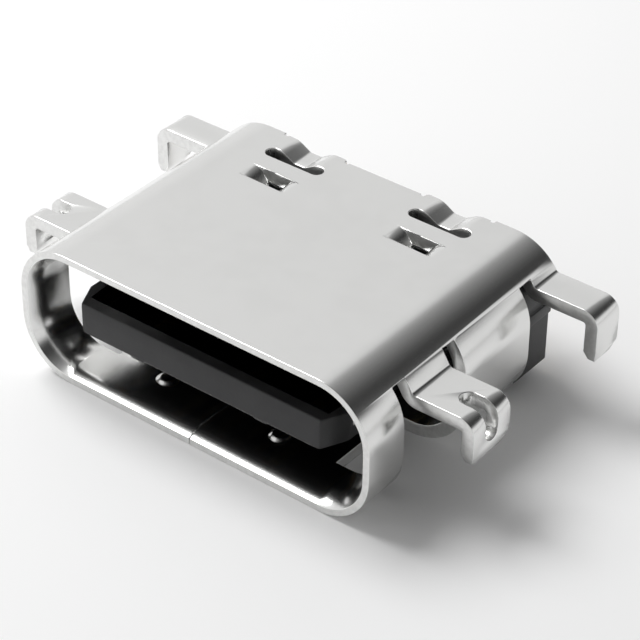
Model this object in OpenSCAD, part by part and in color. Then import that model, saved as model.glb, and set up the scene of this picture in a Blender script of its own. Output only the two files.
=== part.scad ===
// USB-C socket for mid-mounting in a board cut-out.
// X runs across the socket, Y runs from the mouth to the back, Z is up.
// The origin is the centre of the mouth, in the plane of its rim.

/* [Mouth] */
// Width of the opening
mouth_w = 8.34; // [8.2:0.02:9]
// Height of the opening
mouth_h = 2.56; // [2.4:0.02:3]
// Corner radius of the opening
mouth_r = 0.95; // [0.7:0.05:1.15]
// Width of the lead-in round the rim
lead_in = 0.15; // [0.05:0.01:0.2]
// Depth of the lead-in
lead_in_depth = 0.3; // [0.1:0.05:0.6]

/* [Shell] */
// Thickness of the sheet
sheet = 0.3; // [0.2:0.01:0.35]
// Length of the folded tube
shell_len = 6.5; // [6.3:0.05:7.5]
// Gap of the butt seam in the floor
seam_gap = 0.01; // [0.01:0.01:0.1]
// Angle on the shoulder at which the side windows start
window_angle = 42; // [36:6:54]
// Half width of the floor left between the side windows
floor_half = 2.85; // [2:0.05:3.2]
// Gap between a leg and the wall beside it
relief_gap = 0.39; // [0.25:0.01:0.5]
// Corner radius at the closed end of that gap
relief_r = 0.03; // [0.02:0.01:0.15]
// How far the middle of the rear top edge is cut back
edge_step = 0.13; // [0.05:0.01:0.2]

/* [Legs] */
// Height of the board's top face above the centre of the mouth
seat_z = 0.55; // [0.3:0.05:0.6]
// Distance over the outer faces of the legs
leg_span = 11.58; // [11:0.02:12.5]
// Drop of the leg tips below the board's top face
leg_drop = 0.72; // [0.5:0.02:1.1]
// Inner radius of the bend at a leg's outer end
leg_bend_r = 0.06; // [0.03:0.01:0.15]
// Radius of the bend where a leg leaves the shoulder
root_r = 0.12; // [0.05:0.01:0.2]
// Middle of the front legs behind the mouth
front_leg_y = 2.1; // [1.8:0.05:2.6]
// Width of the front legs
front_leg_w = 1.2; // [1:0.05:1.4]
// Width of the slot round the bend of a front leg
leg_slot_w = 0.4; // [0.2:0.02:0.6]
// Where that slot starts, from the outer face of the leg
leg_slot_in = 0.75; // [0.5:0.05:1]
// Where that slot ends, above the tip of the leg
leg_slot_up = 0.31; // [0.25:0.01:0.6]
// Width of the rear legs
rear_leg_w = 0.8; // [0.6:0.05:1]
// How much higher the rear legs lie than the front ones
rear_lift = 0.145; // [0:0.005:0.2]
// Height of the coined bevel at the tips
tip_bevel_h = 0.18; // [0.05:0.01:0.25]
// How far the bevel cuts in on the inner face of a tip
tip_bevel_in = 0.09; // [0.03:0.01:0.12]
// How far the bevel cuts in on the other three faces
tip_bevel_out = 0.04; // [0.02:0.01:0.08]
// Cut-off rear corner of the tips
tip_corner = 0.22; // [0.1:0.02:0.3]

/* [Lances and rear strips] */
// Distance of the lances and strips from the middle of the shell
press_x = 1.89; // [1.7:0.01:2]
// Width of a lance
lance_w = 1.25; // [1.1:0.05:1.4]
// Length of a lance along the shell
lance_len = 0.48; // [0.3:0.02:0.6]
// Middle of the lances, from the rear edge of the shell
lance_back = 1.66; // [1.5:0.02:1.7]
// How deep the lances are pressed
lance_drop = 0.45; // [0.35:0.01:0.5]
// Slope of the lances
lance_angle = 52; // [48:1:60]
// Inner bend radius of the lances
lance_bend_r = 0.08; // [0.04:0.01:0.1]
// Length of the slots in front of the rear strips
slot_len = 1.5; // [1.4:0.05:1.6]
// Width of those slots
slot_w = 0.32; // [0.2:0.02:0.4]
// Middle of those slots, from the rear edge of the shell
slot_back = 0.8; // [0.7:0.02:0.9]
// How deep the rear strips are pressed
strip_drop = 0.19; // [0.1:0.01:0.22]
// Slope of the rear strips
strip_angle = 30; // [25:1:35]
// Inner bend radius of the rear strips
strip_bend_r = 0.15; // [0.05:0.01:0.2]
// How far the cut-back edge of a strip runs on past its slot, to each side
strip_aside = 0.1; // [0.06:0.01:0.12]
// How far the rear edge of the strips is cut back
strip_step = 0.05; // [0.02:0.01:0.1]
// Radius of the small notches beside the strips
notch_r = 0.05; // [0.03:0.01:0.07]

/* [Floor dimples] */
// Distance of the dimples from the seam
dimple_x = 1.48; // [1:0.02:2]
// Middle of the dimples behind the mouth
dimple_y = 1.07; // [0.8:0.01:1.4]
// Diameter of the dimples
dimple_d = 0.5; // [0.3:0.02:0.6]
// Height of the dimples
dimple_h = 0.09; // [0.04:0.01:0.12]

/* [Tongue] */
// Width of the tongue
tongue_w = 6.69; // [6.5:0.01:6.8]
// Thickness of the tongue
tongue_t = 0.7; // [0.6:0.02:0.8]
// Distance of its front face behind the rim
tongue_front = 0.25; // [0.1:0.05:0.5]
// Length of the bevel above the front face
tongue_bevel_y = 0.06; // [0.04:0.01:0.15]
// Height of that bevel
tongue_bevel_h = 0.25; // [0.1:0.01:0.3]
// Size of the small bevel below the front face
tongue_edge = 0.04; // [0.02:0.01:0.06]
// Width of the small facet at each end of the front face, seen from above
tongue_facet_x = 0.18; // [0.1:0.01:0.25]
// Length of that facet
tongue_facet_y = 0.04; // [0.02:0.01:0.06]
// Width of the chamfer at the front corners, seen from above
tongue_corner_x = 0.27; // [0.1:0.01:0.4]
// Length of that chamfer
tongue_corner_y = 0.57; // [0.3:0.01:0.8]
// Distance of the two nibs under the nose from the middle
nib_x = 1.6; // [1.4:0.02:1.8]
// Width of those nibs
nib_w = 0.33; // [0.2:0.01:0.4]
// How far the nibs stand out below the tongue
nib_h = 0.05; // [0.02:0.01:0.06]
// Where the carriers and the long pads start, behind the front face
carrier_in = 0.35; // [0.25:0.05:0.5]
// Width of the moulded rails along the tongue's sides
rail_w = 0.3; // [0.2:0.02:0.35]
// Depth of the latch notches in the tongue's sides
latch_in = 0.25; // [0.1:0.01:0.28]
// Length of the latch notches
latch_len = 1.2; // [0.8:0.05:1.6]
// Start of the latch notches behind the rim
latch_y = 1.9; // [1.6:0.05:2.4]

/* [Base] */
// Length of the base, from its front face to the rear of the shell
base_len = 2; // [1.98:0.02:2.2]
// Running fit between a moulding and the sheet
fit_gap = 0.02; // [0.01:0.01:0.05]
// Height of the base's flat sides above the centre of the mouth
side_top = 0.25; // [0.1:0.01:0.3]
// Height of the lip along the top of those sides
side_lip_h = 0.28; // [0.15:0.01:0.4]
// How far that lip stands out
side_lip = 0.05; // [0.02:0.01:0.08]
// Wall of the base between its lance pockets and the wide part of the carriers
base_wall = 0.12; // [0.08:0.01:0.2]
// Half width of the wide part of the carriers
carrier_half = 3.6; // [3.55:0.01:3.7]
// Half height of the wide part of the carriers
carrier_half_h = 0.7; // [0.5:0.02:0.75]
// Rear wall of the base, behind the carriers
rear_wall = 0.65; // [0.6:0.01:0.7]

/* [Mid plate] */
// Thickness of the plate between the contact rows
plate_t = 0.12; // [0.08:0.01:0.16]
// Front edge of the plate behind the rim
plate_front = 1.0; // [0.9:0.05:1.2]
// How far the plate's rear edge stays inside the carriers
plate_short = 0.35; // [0.2:0.05:0.5]

/* [Contacts] */
// Thickness of the contact strip
contact_t = 0.15; // [0.1:0.01:0.18]
// Pitch of the pads on the tongue
pad_pitch = 0.5; // [0.48:0.01:0.52]
// Width of the ground and power pads
power_pad_w = 0.32; // [0.26:0.01:0.36]
// Width of the signal pads
signal_pad_w = 0.25; // [0.2:0.01:0.28]
// How much later the signal pads start
signal_late = 0.5; // [0.3:0.05:0.8]
// Width of the solder tails
tail_w = 0.2; // [0.16:0.01:0.22]
// Pitch of the signal tails
tail_pitch = 0.5; // [0.48:0.01:0.52]
// Distance of the power tail pairs from the middle
power_tail_x = 2.4; // [2.38:0.01:2.46]
// Distance of the ground tail pairs from the middle
ground_tail_x = 3.2; // [3.1:0.01:3.3]
// Distance between the two tails of a pair
pair_gap = 0.3; // [0.28:0.01:0.32]
// Length of the tails behind the shell
tail_out = 0.7; // [0.4:0.05:0.9]
// Inner bend radius of the contacts
contact_bend_r = 0.1; // [0.05:0.01:0.12]

/* [Hidden] */
arc_step = 6;  // degrees between the points of a rounded outline
over = 1;  // how far a cutter reaches past what it cuts
degrees = 180 / PI;  // degrees in an arc as long as its radius

mouth_top = mouth_h / 2;
shell_w = mouth_w + 2 * sheet;
shell_h = mouth_h + 2 * sheet;
shell_r = mouth_r + sheet;
corner = [mouth_w / 2 - mouth_r, mouth_h / 2 - mouth_r];  // centre of the upper right shoulder

front_leg = [front_leg_y - front_leg_w / 2, front_leg_y + front_leg_w / 2];
rear_leg = [shell_len - rear_leg_w, shell_len];
front_plate_z = seat_z + sheet;
rear_plate_z = front_plate_z + rear_lift;
tip_z = seat_z - leg_drop;
leg_x = leg_span / 2;
wall_rear = rear_leg[0] - relief_gap;

lance = [shell_len - lance_back - lance_len / 2, shell_len - lance_back + lance_len / 2];
slot_y = shell_len - slot_back;
strip = [slot_y + slot_w / 2, shell_len - strip_step];
strip_half = slot_len / 2 - slot_w / 2;
strip_free_half = slot_len / 2 + strip_aside;

tongue_corner_start = tongue_front + tongue_facet_y;
carrier_front = tongue_front + carrier_in;
carrier_tongue_half = tongue_w / 2 - rail_w;
base_front = shell_len - base_len;
wide_front = lance[1] + fit_gap + base_wall;
carrier_rear = shell_len - rear_wall;
plate_rear = carrier_rear - plate_short;
upper_level = tongue_t / 2 - contact_t;  // underside of the upper row of contacts

PINS = [1, 4, 5, 6, 7, 8, 9, 12];
middle_pin = 6.5;  // the middle of each row lies between pins 6 and 7
CONTACTS = [for (row = [1, -1]) for (pin = PINS) [row, pin]];

function contact_name(c) = str("contact_", c[0] > 0 ? "a" : "b", c[1]);

// ---- outlines and extrusions ----

// Points along an arc about c, both ends included
function arc(c, r, from, to) = let (n = max(1, ceil(abs(to - from) / arc_step)))
    [for (i = [0:n]) let (a = from + (to - from) * i / n) c + r * [cos(a), sin(a)]];

// Outline of a rounded rectangle about the origin
function rounded(w, h, r) = concat(
    arc([w / 2 - r, h / 2 - r], r, 0, 90),
    arc([r - w / 2, h / 2 - r], r, 90, 180),
    arc([r - w / 2, r - h / 2], r, 180, 270),
    arc([w / 2 - r, r - h / 2], r, 270, 360));

// Outline of a slot with full round ends, from a to b along the first axis
function obround(a, b, w) = concat(
    arc([b - w / 2, 0], w / 2, -90, 90),
    arc([a + w / 2, 0], w / 2, 90, 270));

// Upper edge of a sheet that bends down by `drop`, starting level at x = 0.
// The first bend has radius r1, the second r2, with a straight slope between.
function step_down(drop, angle, r1, r2) = let (
    slope = (drop - (r1 + r2) * (1 - cos(angle))) / sin(angle),
    foot = [(r1 + r2) * sin(angle) + slope * cos(angle), r2 - drop])
    concat(arc([0, -r1], r1, 90, 90 - angle), arc(foot, r2, 270 - angle, 270));

// The same points without the first, to carry an outline on from where it is
function rest(points) = [for (i = [1:len(points) - 1]) points[i]];

function mirrored(points) = [for (i = [len(points) - 1:-1:0]) [-points[i][0], points[i][1]]];
function shifted(points, by) = [for (p = points) p + by];
function reversed(points) = [for (i = [len(points) - 1:-1:0]) points[i]];

// Section of a sheet with its top at z = 0 that is pressed down between x = -half and half
function pressed_section(half, drop, angle, r) = let (
    outer = step_down(drop, angle, r + sheet, r),
    inner = shifted(step_down(drop, angle, r, r + sheet), [0, -sheet]),
    top = shifted(outer, [-half, 0]),
    bottom = shifted(inner, [-half, 0]))
    concat(top, mirrored(top), reversed(concat(bottom, mirrored(bottom))));

// Extrude an outline of x and z along Y
module along_y(from, to) translate([0, to, 0]) rotate([90, 0, 0]) linear_extrude(to - from) children();

// Extrude an outline of y and z along X
module along_x(from, to) translate([from, 0, 0]) rotate([90, 0, 90]) linear_extrude(to - from) children();

// Extrude an outline of x and y along Z
module along_z(from, to) translate([0, 0, from]) linear_extrude(to - from) children();

module block(from, to) translate(from) cube(to - from);

module both_sides() {
    children();
    mirror([1, 0, 0]) children();
}

// ---- shell ----

// Flared cutter that leaves the lead-in round the mouth
module lead_in_cutter() {
    margin = lead_in_depth / 4;
    ends = [-margin, lead_in_depth + margin];
    rings = [for (y = ends) let (k = lead_in * (1 - y / lead_in_depth))
        [for (p = rounded(mouth_w + 2 * k, mouth_h + 2 * k, mouth_r + k)) [p[0], y, p[1]]]];
    n = len(rings[0]);
    polyhedron(concat(rings[0], rings[1]), concat(
        [[for (i = [n - 1:-1:0]) i]],
        [[for (i = [0:n - 1]) n + i]],
        [for (i = [0:n - 1]) [i, (i + 1) % n, n + (i + 1) % n, n + i]]));
}

// Everything of the side wall below the given angle on the shoulder, down into the floor
module wall_cut(y, angle) {
    reach = 2 * shell_r;
    along_y(y[0], y[1]) polygon([
        corner,
        corner + reach * [cos(angle), sin(angle)],
        [corner[0] + reach, -shell_h],
        [floor_half, -shell_h],
        [floor_half, 0],
        [corner[0], 0]]);
}

// Gap beside a leg, with rounded corners at its closed end
module relief_cut(y) {
    angle = window_angle - relief_r / shell_r * degrees;
    wall_cut(y, angle);
    translate([corner[0], 0, corner[1]]) rotate([0, -angle, 0])
        along_x(mouth_r / 2, shell_r + over / 4) polygon(concat(
            [[y[0], -relief_r], [y[1], -relief_r]],
            arc([y[1] - relief_r, 0], relief_r, 0, 90),
            arc([y[0] + relief_r, 0], relief_r, 90, 180)));
}

// Sheet that leaves the shoulder, runs out level and turns down at its outer end
module bent_leg(y, plate_z) {
    root_z = plate_z + root_r;
    leave = asin((root_z - corner[1]) / (shell_r + root_r));
    root = [corner[0] + (shell_r + root_r) * cos(leave), root_z];
    bend = [leg_x - leg_bend_r - sheet, plate_z - leg_bend_r - sheet];
    start = window_angle + arc_step;  // laps one facet of the shoulder
    lap = [cos(start), sin(start)];
    outer = concat(
        [corner + shell_r * lap],
        arc(corner, shell_r, window_angle, leave),
        rest(arc(root, root_r, 180 + leave, 270)),
        arc(bend, leg_bend_r + sheet, 90, 0),
        [[leg_x, tip_z + tip_bevel_h], [leg_x - tip_bevel_out, tip_z]]);
    inner = concat(
        [corner + mouth_r * lap],
        arc(corner, mouth_r, window_angle, leave),
        rest(arc(root, root_r + sheet, 180 + leave, 270)),
        arc(bend, leg_bend_r, 90, 0),
        [[leg_x - sheet, tip_z + tip_bevel_h], [leg_x - sheet + tip_bevel_in, tip_z]]);
    difference() {
        along_y(y[0], y[1]) polygon(concat(outer, reversed(inner)));
        along_x(leg_x - 2 * sheet, leg_x + over) polygon([
            [y[1] + over, tip_z - over],
            [y[1] - tip_corner - over, tip_z - over],
            [y[1] - tip_corner, tip_z],
            [y[1], tip_z + tip_corner],
            [y[1] + over, tip_z + tip_corner]]);
        along_x(leg_x - 2 * sheet, leg_x + over) polygon([
            [y[0] - over, tip_z - over],
            [y[0] + tip_bevel_out, tip_z - over],
            [y[0] + tip_bevel_out, tip_z],
            [y[0], tip_z + tip_bevel_h],
            [y[0] - over, tip_z + tip_bevel_h]]);
    }
}

// Slot that runs over the bend of a front leg, cut in its level part and its upright part
module leg_slot() {
    level_z = seat_z - leg_bend_r;
    translate([0, front_leg_y, 0])
        along_z(level_z, front_plate_z + over) polygon(obround(leg_x - leg_slot_in, leg_x + over, leg_slot_w));
    translate([0, front_leg_y, 0])
        along_x(leg_x - sheet - leg_bend_r, leg_x + over)
            polygon([for (p = obround(tip_z + leg_slot_up, front_plate_z + over, leg_slot_w)) [p[1], p[0]]]);
}

module pressed_band(y, half, drop, angle, r)
    translate([press_x, 0, shell_h / 2])
        along_y(y[0], y[1]) polygon(pressed_section(half, drop, angle, r));

module roof_hole(y, half)
    block([press_x - half, y[0], mouth_top / 2], [press_x + half, y[1], shell_h]);

module rear_slot()
    translate([press_x, slot_y, 0])
        along_z(mouth_top / 2, shell_h) polygon(obround(-slot_len / 2, slot_len / 2, slot_w));

// Steps in the rear edge of the roof, with a small notch at each
module rear_edge_cut() {
    back = shell_len + over;
    mid = press_x - strip_free_half - notch_r;
    outside = press_x + strip_free_half;
    along_z(mouth_top / 2, shell_h) polygon([
        [-over, back], [-over, shell_len - edge_step],
        [mid, shell_len - edge_step], [mid + 2 * notch_r, strip[1]],
        [outside, strip[1]], [outside, back]]);
    for (p = [[mid, shell_len - edge_step], [outside - notch_r, strip[1]]])
        translate(p) along_z(mouth_top / 2, shell_h) circle(notch_r, $fn = 24);
}

module dimple(r, z)
    translate([dimple_x, dimple_y, z]) cylinder(dimple_h, r, r - dimple_h, $fn = 48);

module shell() color("silver") difference() {
    union() {
        difference() {
            along_y(0, shell_len) difference() {
                polygon(rounded(shell_w, shell_h, shell_r));
                polygon(rounded(mouth_w, mouth_h, mouth_r));
            }
            lead_in_cutter();
            both_sides() {
                relief_cut([front_leg[0] - relief_gap, front_leg[0]]);
                relief_cut([front_leg[1], front_leg[1] + relief_gap]);
                wall_cut(front_leg, window_angle);
                relief_cut([wall_rear, rear_leg[0]]);
                wall_cut([rear_leg[0], shell_len + over], window_angle);
                roof_hole(lance, lance_w / 2);
                rear_slot();
                roof_hole([strip[0], strip[1] + over], strip_half);
                rear_edge_cut();
            }
        }
        both_sides() {
            difference() {
                bent_leg(front_leg, front_plate_z);
                leg_slot();
            }
            bent_leg(rear_leg, rear_plate_z);
            pressed_band(lance, lance_w / 2, lance_drop, lance_angle, lance_bend_r);
            pressed_band(strip, strip_half, strip_drop, strip_angle, strip_bend_r);
            dimple(dimple_d / 2, -mouth_top);
        }
    }
    both_sides() dimple(dimple_d / 2, -mouth_top - sheet);
    block([-seam_gap / 2, -over, -shell_h], [seam_gap / 2, shell_len + over, 0]);
}

// ---- contacts ----

function pad_x(c) = c[0] * (c[1] - middle_pin) * pad_pitch;

// Pins 5 to 8 alternate between the rows; the others leave as close pairs
function tail_x(c) = let (steps = abs(c[1] - middle_pin), side = sign(pad_x(c)))
    side * (steps < 2 ? 2 * steps * tail_pitch - c[0] * tail_pitch / 2
        : (steps < 3 ? power_tail_x : ground_tail_x) + c[0] * pair_gap / 2);

function is_power(c) = abs(c[1] - middle_pin) > 2;

module contact(c) color("goldenrod") {
    pad_w = is_power(c) ? power_pad_w : signal_pad_w;
    front = carrier_front + (is_power(c) ? 0 : signal_late);
    level = c[0] > 0 ? upper_level : -tongue_t / 2;
    aside = [wide_front + contact_t, carrier_rear - contact_t];
    rise = seat_z - level;
    bend_y = shell_len - 2 * contact_t - contact_bend_r;  // outer face of the rising part
    r_out = contact_bend_r + contact_t;
    along_z(level, level + contact_t) polygon([
        [pad_x(c) - pad_w / 2, front], [pad_x(c) + pad_w / 2, front],
        [pad_x(c) + pad_w / 2, aside[0]], [tail_x(c) + tail_w / 2, aside[1]],
        [tail_x(c) + tail_w / 2, carrier_rear], [tail_x(c) - tail_w / 2, carrier_rear],
        [tail_x(c) - tail_w / 2, aside[1]], [pad_x(c) - pad_w / 2, aside[0]]]);
    angle = rise < r_out + contact_bend_r ? acos(1 - rise / (r_out + contact_bend_r)) : 90;
    first = [bend_y - r_out * sin(angle), level + r_out];
    second = [bend_y + contact_bend_r * sin(angle), seat_z - contact_bend_r];
    tail_end = shell_len + tail_out;
    along_x(tail_x(c) - tail_w / 2, tail_x(c) + tail_w / 2) polygon(concat(
        [[carrier_rear, level]],
        arc(first, r_out, 270, 270 + angle),
        arc(second, contact_bend_r, 90 + angle, 90),
        [[tail_end, seat_z], [tail_end, seat_z + contact_t]],
        arc(second, r_out, 90, 90 + angle),
        arc(first, contact_bend_r, 270 + angle, 270),
        [[carrier_rear, level + contact_t]]));
}

module contact_row(row) for (pin = PINS) contact([row, pin]);

// ---- carriers and mid plate ----

// Half width of the tongue, cut in at the latch notches, from front to back
function tongue_side(half, front, back) = [
    [half, front], [half, latch_y], [half - latch_in, latch_y + latch_in],
    [half - latch_in, latch_y + latch_len], [half, latch_y + latch_len + latch_in], [half, back]];

module mid_plate() color("gainsboro")
    along_z(-plate_t / 2, plate_t / 2)
        polygon(concat(
            tongue_side(tongue_w / 2, plate_front, plate_rear),
            mirrored(tongue_side(tongue_w / 2, plate_front, plate_rear))));

// Solid of the upper carrier, before its contacts are set in
module carrier_body() {
    block([-carrier_tongue_half, carrier_front, plate_t / 2], [carrier_tongue_half, carrier_rear, tongue_t / 2]);
    block([-carrier_half, wide_front, plate_t / 2], [carrier_half, carrier_rear, carrier_half_h]);
}

module upper_carrier() color([0.16, 0.16, 0.17]) difference() {
    carrier_body();
    contact_row(1);
}

module lower_carrier() color([0.16, 0.16, 0.17]) difference() {
    mirror([0, 0, 1]) carrier_body();
    contact_row(-1);
}

// ---- housing ----

module tongue_body() {
    half = tongue_w / 2;
    facet = half - tongue_corner_x - tongue_facet_x;
    start = tongue_corner_start;
    back = wide_front;
    side = concat(
        [[facet, tongue_front - over], [facet, tongue_front], [half - tongue_corner_x, start]],
        tongue_side(half, start + tongue_corner_y, back));
    intersection() {
        along_z(-tongue_t, tongue_t) polygon(concat(side, mirrored(side)));
        along_x(-half - over, half + over) polygon([
            [back, -tongue_t / 2], [tongue_front + tongue_edge, -tongue_t / 2],
            [tongue_front, tongue_edge - tongue_t / 2],
            [tongue_front, tongue_t / 2 - tongue_bevel_h],
            [tongue_front + tongue_bevel_y, tongue_t / 2], [back, tongue_t / 2]]);
    }
    both_sides() block([nib_x - nib_w / 2, tongue_front + tongue_edge, -tongue_t / 2 - nib_h],
        [nib_x + nib_w / 2, carrier_front - fit_gap, 0]);
}

module base_body() {
    w = mouth_w - 2 * fit_gap;
    h = mouth_h - 2 * fit_gap;
    along_y(base_front, shell_len) polygon(rounded(w, h, mouth_r - fit_gap));
    block([-w / 2, wall_rear + fit_gap, -h / 2 + fit_gap], [w / 2, shell_len, side_top]);
    block([-w / 2 - side_lip, wall_rear + fit_gap, side_top - side_lip_h],
        [w / 2 + side_lip, shell_len, side_top]);
}

// Room under a pressed part of the roof, and beside it
module press_pocket(y, drop, half)
    block([press_x - half - fit_gap, y[0] - fit_gap, mouth_top - drop - fit_gap],
        [press_x + half + fit_gap, y[1] + fit_gap, shell_h]);

module housing() color([0.1, 0.1, 0.11]) difference() {
    union() {
        tongue_body();
        base_body();
    }
    carrier_body();
    mirror([0, 0, 1]) carrier_body();
    mid_plate();
    contact_row(1);
    contact_row(-1);
    both_sides() {
        press_pocket(lance, lance_drop, lance_w / 2);
        press_pocket([strip[0], shell_len + over], strip_drop, strip_half);
    }
}

shell();
housing();
upper_carrier();
lower_carrier();
mid_plate();
for (c = CONTACTS)
    contact(c);
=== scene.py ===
import math
import bmesh
import bpy
import numpy as np
from mathutils import Matrix, Vector
from mathutils.bvhtree import BVHTree


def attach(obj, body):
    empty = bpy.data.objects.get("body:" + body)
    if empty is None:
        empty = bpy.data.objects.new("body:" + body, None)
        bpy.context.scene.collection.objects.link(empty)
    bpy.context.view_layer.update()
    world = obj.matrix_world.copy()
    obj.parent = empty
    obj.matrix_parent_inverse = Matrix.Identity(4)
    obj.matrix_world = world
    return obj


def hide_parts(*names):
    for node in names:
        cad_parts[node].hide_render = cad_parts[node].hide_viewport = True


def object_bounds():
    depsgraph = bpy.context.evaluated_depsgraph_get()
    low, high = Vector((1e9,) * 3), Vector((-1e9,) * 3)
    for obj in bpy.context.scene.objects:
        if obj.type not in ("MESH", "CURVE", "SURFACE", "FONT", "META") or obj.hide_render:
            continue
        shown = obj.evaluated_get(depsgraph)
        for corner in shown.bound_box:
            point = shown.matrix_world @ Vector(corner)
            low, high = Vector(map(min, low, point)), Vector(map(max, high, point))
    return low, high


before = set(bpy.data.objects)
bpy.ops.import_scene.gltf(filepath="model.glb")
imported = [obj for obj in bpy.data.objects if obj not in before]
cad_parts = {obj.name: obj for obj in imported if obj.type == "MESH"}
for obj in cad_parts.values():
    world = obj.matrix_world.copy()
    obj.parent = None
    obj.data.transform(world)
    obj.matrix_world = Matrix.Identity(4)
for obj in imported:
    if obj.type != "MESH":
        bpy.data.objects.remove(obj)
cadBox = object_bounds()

mm = 0.001  # the frame is in metres, the sizes below are in millimetres
nodeNames = list(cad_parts)
print("frame loaded:", len(nodeNames), "nodes")


class Val:
    # wraps a socket of a node tree, so that shader maths reads as Python
    def __init__(self, tree, socket):
        self.tree = tree
        self.socket = socket

    def op(self, operation, a, b=0.0):
        return self.tree.add("ShaderNodeMath", {"operation": operation}, {0: a, 1: b})

    def __add__(self, other): return self.op("ADD", self, other)
    def __radd__(self, other): return self.op("ADD", other, self)
    def __sub__(self, other): return self.op("SUBTRACT", self, other)
    def __rsub__(self, other): return self.op("SUBTRACT", other, self)
    def __mul__(self, other): return self.op("MULTIPLY", self, other)
    def __rmul__(self, other): return self.op("MULTIPLY", other, self)
    def __truediv__(self, other): return self.op("DIVIDE", self, other)


class Tree:
    # the node tree of one material or of the world
    def __init__(self, owner):
        owner.use_nodes = True
        self.tree = owner.node_tree
        self.tree.nodes.clear()

    def add(self, kind, settings=None, inputs=None, out=0):
        # a node of this type, with its settings first and then its sockets
        node = self.tree.nodes.new(kind)
        for name, value in (settings or {}).items():
            if name == "stops":
                ramp = node.color_ramp
                while len(ramp.elements) < len(value):
                    ramp.elements.new(0.5)
                for element, (place, level) in zip(ramp.elements, value):
                    element.position = place
                    element.color = (level, level, level, 1)
            else:
                setattr(node, name, value)
        for name, value in (inputs or {}).items():
            if isinstance(value, Val):
                self.tree.links.new(value.socket, node.inputs[name])
            else:
                node.inputs[name].default_value = value
        return Val(self, node.outputs[out]) if node.outputs else None

    def also(self, value, name):
        # another output of the node that gave this value
        return Val(self, value.socket.node.outputs[name])

    def noise(self, coords, scale, detail=3.0, rough=0.5):
        return self.add("ShaderNodeTexNoise", {}, {"Vector": coords, "Scale": scale,
                                                   "Detail": detail, "Roughness": rough})

    def span(self, value, low, high):
        # maps low..high onto 0..1, softly at both ends
        return self.add("ShaderNodeMapRange", {"interpolation_type": "SMOOTHSTEP"},
                        {"Value": value, "From Min": low, "From Max": high})

    def blend(self, factor, a, b):
        # colour a where the factor is 0, colour b where it is 1
        return self.add("ShaderNodeMix", {"data_type": "RGBA"}, {0: factor, 6: a, 7: b}, out=2)

    def bump(self, height, distance, strength=1.0, under=None):
        inputs = {"Strength": strength, "Distance": distance * mm, "Height": height}
        if under:
            inputs["Normal"] = under
        return self.add("ShaderNodeBump", {}, inputs)

    def stretched(self, coords, x, y, z):
        return self.add("ShaderNodeMapping", {}, {"Vector": coords, "Scale": (x, y, z)})


def rgb(r, g, b):
    return (r, g, b, 1)


def newMaterial(name):
    mat = bpy.data.materials.new(name)
    m = Tree(mat)
    coords = m.add("ShaderNodeTexCoord", out=3)  # Object coordinates, in metres
    return mat, m, coords


def finishMaterial(m, **sockets):
    names = {key.replace("_", " "): value for key, value in sockets.items()}
    shader = m.add("ShaderNodeBsdfPrincipled", {}, names)
    m.add("ShaderNodeOutputMaterial", {}, {"Surface": shader})


cameraDict = {
    "place": (25.216, -28.101, 28.453),
    "forward": (-0.50048, 0.64117, -0.58174),
    "roll": 0.55,    # degrees
    "lens": 135.6,
    "sensor": 36.0,
}


def makeCamera(d):
    # looks along forward, turned by roll about that line
    ahead = Vector(d["forward"]).normalized()
    right = ahead.cross(Vector((0, 0, 1))).normalized()
    up = right.cross(ahead)
    roll = math.radians(d["roll"])
    side = right * math.cos(roll) + up * math.sin(roll)
    data = bpy.data.cameras.new("camera")
    data.lens = d["lens"]
    data.sensor_width = d["sensor"]
    data.clip_start = 1 * mm
    data.clip_end = 2000 * mm
    cam = bpy.data.objects.new("camera", data)
    turn = Matrix((side, side.cross(ahead), -ahead)).transposed()
    cam.matrix_world = Matrix.Translation(Vector(d["place"]) * mm) @ turn.to_4x4()
    bpy.context.scene.collection.objects.link(cam)
    bpy.context.scene.camera = cam
    print("camera set")


studioDict = {
    "floorSize": 400.0,
    "floorColour": 0.96,
    # light of the tent against the angle from straight up, in degrees, positive to the right
    "tent": [(-180, 0.90), (-95, 0.90), (-60, 0.84), (-30, 0.77), (-21, 0.74), (-14, 0.40), (-6, 0.29),
             (8, 0.19), (22, 0.10), (36, 0.045), (50, 0.045), (58, 0.10), (64, 0.40), (70, 0.78),
             (80, 0.84), (180, 0.90)],
    "keyPower": 0.060,
    "keySize": 55.0,
    "keyPlace": (-52.0, 4.0, 72.0),
}


def makeFloor(d):
    half = d["floorSize"] / 2 * mm
    z = cadBox[0][2]
    mesh = bpy.data.meshes.new("floor")
    mesh.from_pydata([(-half, -half, z), (half, -half, z), (half, half, z), (-half, half, z)],
                     [], [(0, 1, 2, 3)])
    floor = bpy.data.objects.new("floor", mesh)
    bpy.context.scene.collection.objects.link(floor)
    mat = bpy.data.materials.new("floorPaper")
    m = Tree(mat)
    level = d["floorColour"]
    paper = m.add("ShaderNodeBsdfDiffuse", {}, {"Color": rgb(level, level, level)})
    m.add("ShaderNodeOutputMaterial", {}, {"Surface": paper})
    mesh.materials.append(mat)


def makeTent(d):
    # a light tent whose brightness goes with the angle about the y axis
    world = bpy.data.worlds.new("tent")
    bpy.context.scene.world = world
    m = Tree(world)
    split = m.add("ShaderNodeSeparateXYZ", {}, {0: m.add("ShaderNodeTexCoord")})
    angle = split.op("ARCTAN2", split, m.also(split, "Z"))
    turn = angle / (2 * math.pi) + 0.5
    stops = [(a / 360 + 0.5, level) for a, level in d["tent"]]
    tent = m.add("ShaderNodeValToRGB", {"stops": stops}, {0: turn})
    back = m.add("ShaderNodeBackground", {}, {"Color": tent, "Strength": 1.0})
    m.add("ShaderNodeOutputWorld", {}, {"Surface": back})


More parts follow.
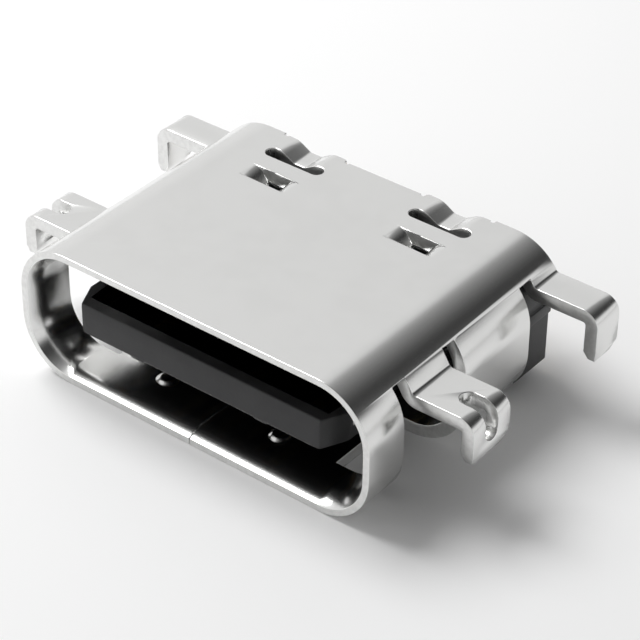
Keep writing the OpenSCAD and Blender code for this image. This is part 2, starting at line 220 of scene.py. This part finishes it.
def makeLamp(name, place, target, size, power):
    data = bpy.data.lights.new(name, "AREA")
    data.shape = "DISK"
    data.size = size * mm
    data.energy = power
    lamp = bpy.data.objects.new(name, data)
    here = Vector(place) * mm
    aim = (Vector(target) * mm - here).to_track_quat("-Z", "Y")
    lamp.matrix_world = Matrix.Translation(here) @ aim.to_matrix().to_4x4()
    bpy.context.scene.collection.objects.link(lamp)


makeCamera(cameraDict)
makeFloor(studioDict)
makeTent(studioDict)
makeLamp("key", studioDict["keyPlace"], (0, 3, 0), studioDict["keySize"], studioDict["keyPower"])
bpy.context.scene.view_settings.view_transform = "Standard"
print("floor, tent and lamp made")


steelDict = {
    "colour": (0.80, 0.80, 0.79),
    "stain": (0.775, 0.775, 0.765),
    "rough": 0.20,
    "roughVary": 0.05,
    "cutRough": 0.14,        # added on sheared faces
    "cutColour": (0.70, 0.70, 0.69),
    "blotchScale": 900.0,    # per metre
    "grainScale": 30000.0,
    "grainHeight": 0.0006,
    "shearScale": 9000.0,
    "shearHeight": 0.004,
    "shearStrength": 0.6,
}


def steel(d, name):
    # satin strip: faint stains, roughness that wanders with them, and a fine rolled grain
    mat, m, coords = newMaterial(name)
    blotch = m.noise(coords, d["blotchScale"], 5.0, 0.6)
    grain = m.noise(coords, d["grainScale"], 2.0)
    cut = m.add("ShaderNodeAttribute", {"attribute_name": "cutFace"}, {}, out=2)
    shear = m.noise(coords, d["shearScale"], 4.0, 0.65)
    colour = m.blend(m.span(blotch, 0.35, 0.7), rgb(*d["colour"]), rgb(*d["stain"]))
    colour = m.blend(cut * m.span(shear, 0.3, 0.7), colour, rgb(*d["cutColour"]))
    rough = blotch * d["roughVary"] + (d["rough"] - d["roughVary"] / 2) + cut * d["cutRough"]
    skin = m.bump(grain, d["grainHeight"])
    finishMaterial(m, Base_Color=colour, Metallic=1.0, Roughness=rough,
                   Normal=m.bump(cut * shear, d["shearHeight"], d["shearStrength"], skin))
    return mat


plasticDict = {
    "colour": (0.010, 0.010, 0.011),
    "worn": (0.018, 0.018, 0.019),
    "rough": 0.42,
    "roughVary": 0.1,
    "cloudScale": 1200.0,    # per metre
    "grainScale": 14000.0,
    "grainHeight": 0.003,
}


def plastic(d, name):
    mat, m, coords = newMaterial(name)
    cloud = m.noise(coords, d["cloudScale"], 3.0)
    grain = m.noise(coords, d["grainScale"], 3.0)
    colour = m.blend(m.span(cloud, 0.3, 0.7), rgb(*d["colour"]), rgb(*d["worn"]))
    finishMaterial(m, Base_Color=colour, Roughness=cloud * d["roughVary"] + d["rough"],
                   Normal=m.bump(grain, d["grainHeight"]))
    return mat


goldDict = {
    "colour": (0.80, 0.58, 0.26),
    "pale": (0.86, 0.66, 0.36),
    "rough": 0.40,
    "roughVary": 0.1,
    "cloudScale": 2500.0,    # per metre
    "streakAcross": 30000.0,
    "streakAlong": 1500.0,
    "streakHeight": 0.002,
    "streakStrength": 0.5,
}


def gold(d, name):
    mat, m, coords = newMaterial(name)
    cloud = m.noise(coords, d["cloudScale"], 3.0)
    drawn = m.stretched(coords, d["streakAcross"], d["streakAlong"], d["streakAcross"])
    streak = m.noise(drawn, 1.0, 2.0)
    colour = m.blend(m.span(cloud, 0.3, 0.7), rgb(*d["colour"]), rgb(*d["pale"]))
    finishMaterial(m, Base_Color=colour, Metallic=1.0, Roughness=cloud * d["roughVary"] + d["rough"],
                   Normal=m.bump(streak, d["streakHeight"], d["streakStrength"]))
    return mat


softDict = {
    "flatAngle": 0.3,     # degrees, below which faces count as one flat
    "sharpAngle": 30.0,   # degrees, above which an edge is rounded
    "segments": 2,
    "shellEdge": 0.02,    # rounding widths, in millimetres
    "housingEdge": 0.03,
    "carrierEdge": 0.02,
    "thinEdge": 0.015,
    "shellJoin": 0.0035,    # points closer than this are one
    "housingJoin": 0.0002,
}


def shadeSmooth(obj):
    # bends are shaded as curves, and large flats keep their own normal
    normals = obj.modifiers.new("normals", "WEIGHTED_NORMAL")
    normals.weight = 50
    obj.data.polygons.foreach_set("use_smooth", np.ones(len(obj.data.polygons), dtype=bool))


def dress(node, material, width):
    # the solid itself, with its material and its edges softened by this width
    obj = bpy.data.objects[node]
    obj.data.materials.clear()
    obj.data.materials.append(material)
    weld = obj.modifiers.new("weld", "WELD")
    weld.merge_threshold = 0.0002 * mm
    flat = obj.modifiers.new("flat", "DECIMATE")
    flat.decimate_type = "DISSOLVE"
    flat.angle_limit = math.radians(softDict["flatAngle"])
    bevel = obj.modifiers.new("bevel", "BEVEL")
    bevel.width = width * mm
    bevel.segments = softDict["segments"]
    bevel.limit_method = "ANGLE"
    bevel.angle_limit = math.radians(softDict["sharpAngle"])
    bevel.use_clamp_overlap = False
    shadeSmooth(obj)


def softenedCopy(node, name, material, width, join):
    # the solid's skin with its doubles merged, its flats joined and its sharp edges rounded;
    # where the rounding overshoots, a point goes back to the nearest place on the skin
    bm = bmesh.new()
    bm.from_mesh(bpy.data.objects[node].data)
    bmesh.ops.remove_doubles(bm, verts=bm.verts, dist=join * mm)
    bmesh.ops.dissolve_limit(bm, verts=bm.verts, edges=bm.edges, delimit=set(),
                             angle_limit=math.radians(softDict["flatAngle"]))
    skin = BVHTree.FromBMesh(bm)
    sharp = [edge for edge in bm.edges if edge.calc_face_angle(0) > math.radians(softDict["sharpAngle"])]
    bmesh.ops.bevel(bm, geom=sharp, offset=width * mm, offset_type="OFFSET", affect="EDGES",
                    segments=softDict["segments"], profile=0.5)
    for vert in bm.verts:
        place, normal, index, gap = skin.find_nearest(vert.co)
        if gap > width * mm / 2:
            vert.co = place
    bmesh.ops.remove_doubles(bm, verts=bm.verts, dist=0.0001 * mm)
    mesh = bpy.data.meshes.new(name)
    bm.to_mesh(mesh)
    bm.free()
    mesh.materials.append(material)
    normals = np.empty(len(mesh.polygons) * 3)
    mesh.polygons.foreach_get("normal", normals)
    cut = (np.abs(normals.reshape(-1, 3)[:, 1]) > 0.9).astype(np.float32)
    mesh.attributes.new("cutFace", "FLOAT", "FACE").data.foreach_set("value", cut)
    obj = bpy.data.objects.new(name, mesh)
    bpy.context.scene.collection.objects.link(obj)
    shadeSmooth(obj)
    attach(obj, "root")
    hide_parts(node)


shellSteel = steel(steelDict, "shellSteel")
plateSteel = steel(steelDict, "plateSteel")
housingPlastic = plastic(plasticDict, "housingPlastic")
carrierPlastic = plastic(plasticDict, "carrierPlastic")
contactGold = gold(goldDict, "contactGold")
print("materials made")

softenedCopy("shell", "foldedShell", shellSteel,
             softDict["shellEdge"], softDict["shellJoin"])
softenedCopy("housing", "mouldedHousing", housingPlastic,
             softDict["housingEdge"], softDict["housingJoin"])
dress("upper_carrier", carrierPlastic, softDict["carrierEdge"])
dress("lower_carrier", carrierPlastic, softDict["carrierEdge"])
dress("mid_plate", plateSteel, softDict["thinEdge"])
for name in nodeNames:
    if name.startswith("contact_"):
        dress(name, contactGold, softDict["thinEdge"])
print("pieces dressed")
